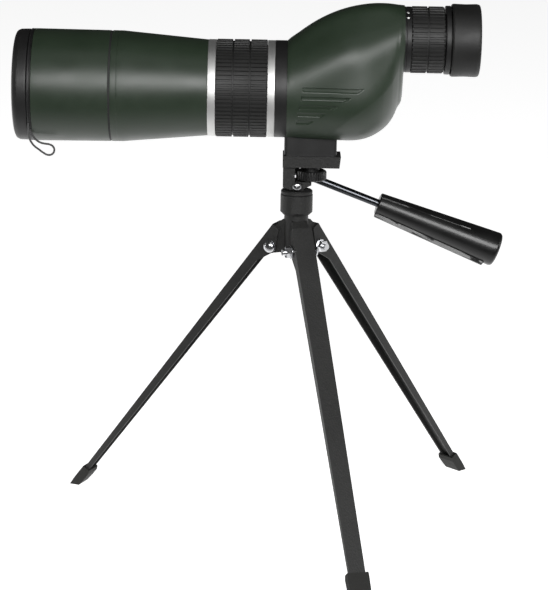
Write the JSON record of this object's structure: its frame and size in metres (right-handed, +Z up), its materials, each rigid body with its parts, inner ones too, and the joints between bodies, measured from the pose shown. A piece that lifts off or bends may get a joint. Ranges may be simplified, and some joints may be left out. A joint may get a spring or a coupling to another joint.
{
  "type": "spotting scope on a tabletop tripod",
  "caption": "Straight spotting scope with a capped hooded objective, ribbed focus and zoom rings and a rubber eyecup, on a small folding tripod with a pan handle.",
  "frame": {"origin": "centre of the bounding box on the floor that the three feet stand on", "axes": "+Z up; the objective points along -X and the eyepiece along +X; the near leg stands towards -Y and the handle's rod is on the +Y side of the head"},
  "size_m": [0.3128, 0.2682, 0.3409],
  "materials": {
    "green_armour": "satin",
    "black_plastic": "satin",
    "black_metal": "matte",
    "rubber": "matte",
    "tether_cord": "satin",
    "silver": "satin",
    "head_paint": "satin",
    "leg_paint": "satin",
    "chrome": "polished",
    "brass": "satin",
    "gloss_grip": "gloss",
    "glass": "polished"
  },
  "bodies": {
    "tripod": {"crown": "head_paint", "leg_bolts": "chrome", "leg_nuts": "chrome", "leg_washers": "chrome"},
    "near_leg": {"leg_near": "leg_paint", "foot_near": "rubber"},
    "right_leg": {"leg_right": "leg_paint", "foot_right": "rubber"},
    "left_leg": {"leg_left": "leg_paint", "foot_left": "rubber"},
    "pan_head": {"pan_stem": "head_paint", "pan_screw": "chrome"},
    "pan_lock": {"pan_collar": "head_paint"},
    "tilt_head": {"tilt_bracket": "head_paint", "platform_pad": "rubber", "tilt_screw": "chrome", "tilt_nut": "chrome", "scope_foot": "black_plastic", "foot_insert": "brass", "foot_screws": "chrome", "objective_rim_ring": "black_plastic", "objective_hood": "green_armour", "objective_cell": "black_metal", "objective_front_lens": "glass", "objective_rear_lens": "glass", "objective_retainer": "black_metal", "barrel_seam_ring": "black_plastic", "main_barrel": "green_armour", "front_trim_ring": "silver", "guide_tube": "black_metal", "rear_trim_ring": "silver", "adapter_ring": "black_plastic", "prism_housing": "green_armour", "prism_plate": "black_metal", "prism_front": "glass", "prism_rear": "glass", "eyepiece_collar": "black_plastic", "eyepiece_tube": "black_metal", "eye_lens_cell": "black_metal", "eye_lens": "glass", "eyecup_base": "black_plastic", "cap_tether": "tether_cord"},
    "lens_cap": {"objective_cap": "black_plastic"},
    "focus_ring": {"focus_ring_core": "black_plastic", "focus_ring_grip": "rubber"},
    "focus_cell": {"focus_lens_cell": "black_metal", "focus_lens": "glass"},
    "zoom_ring": {"zoom_ring_core": "black_plastic", "zoom_ring_grip": "rubber"},
    "zoom_front": {"zoom_front_cell": "black_metal", "zoom_front_lens": "glass"},
    "zoom_rear": {"zoom_rear_cell": "black_metal", "zoom_rear_lens": "glass"},
    "eyecup_slider": {"eyecup": "rubber"},
    "camera_screw_knob": {"camera_screw": "chrome", "camera_knob": "black_plastic"},
    "handle": {"handle_rod": "chrome", "handle_grip": "gloss_grip"}
  },
  "joints": [
    {"name": "near_leg_fold", "type": "hinge", "parent": "tripod", "child": "near_leg", "pos_m": [0.02726, 0.00805, 0.1823], "axis": [0.9636, 0.2672, 0], "range_deg": [0, 36.5]},
    {"name": "right_leg_fold", "type": "hinge", "parent": "tripod", "child": "right_leg", "pos_m": [0.03458, 0.03277, 0.1823], "axis": [-0.6626, 0.749, 0], "range_deg": [0, 36.5]},
    {"name": "left_leg_fold", "type": "hinge", "parent": "tripod", "child": "left_leg", "pos_m": [0.00911, 0.02839, 0.1823], "axis": [-0.3746, -0.9272, 0], "range_deg": [0, 36.5]},
    {"name": "pan_swivel", "type": "hinge", "parent": "tripod", "child": "pan_head", "pos_m": [0.0232, 0.0227, 0.2188], "axis": [0, 0, 1], "continuous": true},
    {"name": "pan_lock_turn", "type": "hinge", "parent": "tripod", "child": "pan_lock", "pos_m": [0.0232, 0.0227, 0.2106], "axis": [0, 0, 1], "range_deg": [0, 60]},
    {"name": "tilt", "type": "hinge", "parent": "pan_head", "child": "tilt_head", "pos_m": [0.0232, 0.0227, 0.2233], "axis": [0, 1, 0], "range_deg": [-15, 25]},
    {"name": "camera_screw_spin", "type": "hinge", "parent": "tilt_head", "child": "camera_screw_knob", "pos_m": [0.0323, 0.0227, 0.2298], "axis": [0, 0, 1], "continuous": true},
    {"name": "handle_twist", "type": "hinge", "parent": "tilt_head", "child": "handle", "pos_m": [0.0217, 0.0367, 0.2296], "axis": [0.9354, 0, -0.3535], "range_deg": [-120, 0]},
    {"name": "focus_spin", "type": "hinge", "parent": "tilt_head", "child": "focus_ring", "pos_m": [-0.01305, 0.0227, 0.285], "axis": [1, 0, 0], "range_deg": [-150, 150]},
    {"name": "focus_slide", "type": "slide", "parent": "tilt_head", "child": "focus_cell", "axis": [1, 0, 0], "range_m": [-0.006, 0.006]},
    {"name": "zoom_spin", "type": "hinge", "parent": "tilt_head", "child": "zoom_ring", "pos_m": [0.1035, 0.0227, 0.3179], "axis": [1, 0, 0], "range_deg": [-60, 60]},
    {"name": "zoom_front_slide", "type": "slide", "parent": "tilt_head", "child": "zoom_front", "axis": [1, 0, 0], "range_m": [-0.004, 0.004]},
    {"name": "zoom_rear_slide", "type": "slide", "parent": "tilt_head", "child": "zoom_rear", "axis": [1, 0, 0], "range_m": [-0.0025, 0.0025]},
    {"name": "eyecup_slide", "type": "slide", "parent": "tilt_head", "child": "eyecup_slider", "axis": [1, 0, 0], "range_m": [-0.003, 0]},
    {"name": "cap_pull", "type": "slide", "parent": "tilt_head", "child": "lens_cap", "axis": [-1, 0, 0], "range_m": [0, 0.02]}
  ],
  "couplings": [
    {"joint": "focus_slide", "follows": "focus_spin", "m_per_rad": 0.00229},
    {"joint": "zoom_front_slide", "follows": "zoom_spin", "m_per_rad": 0.00381},
    {"joint": "zoom_rear_slide", "follows": "zoom_spin", "m_per_rad": -0.00238}
  ]
}
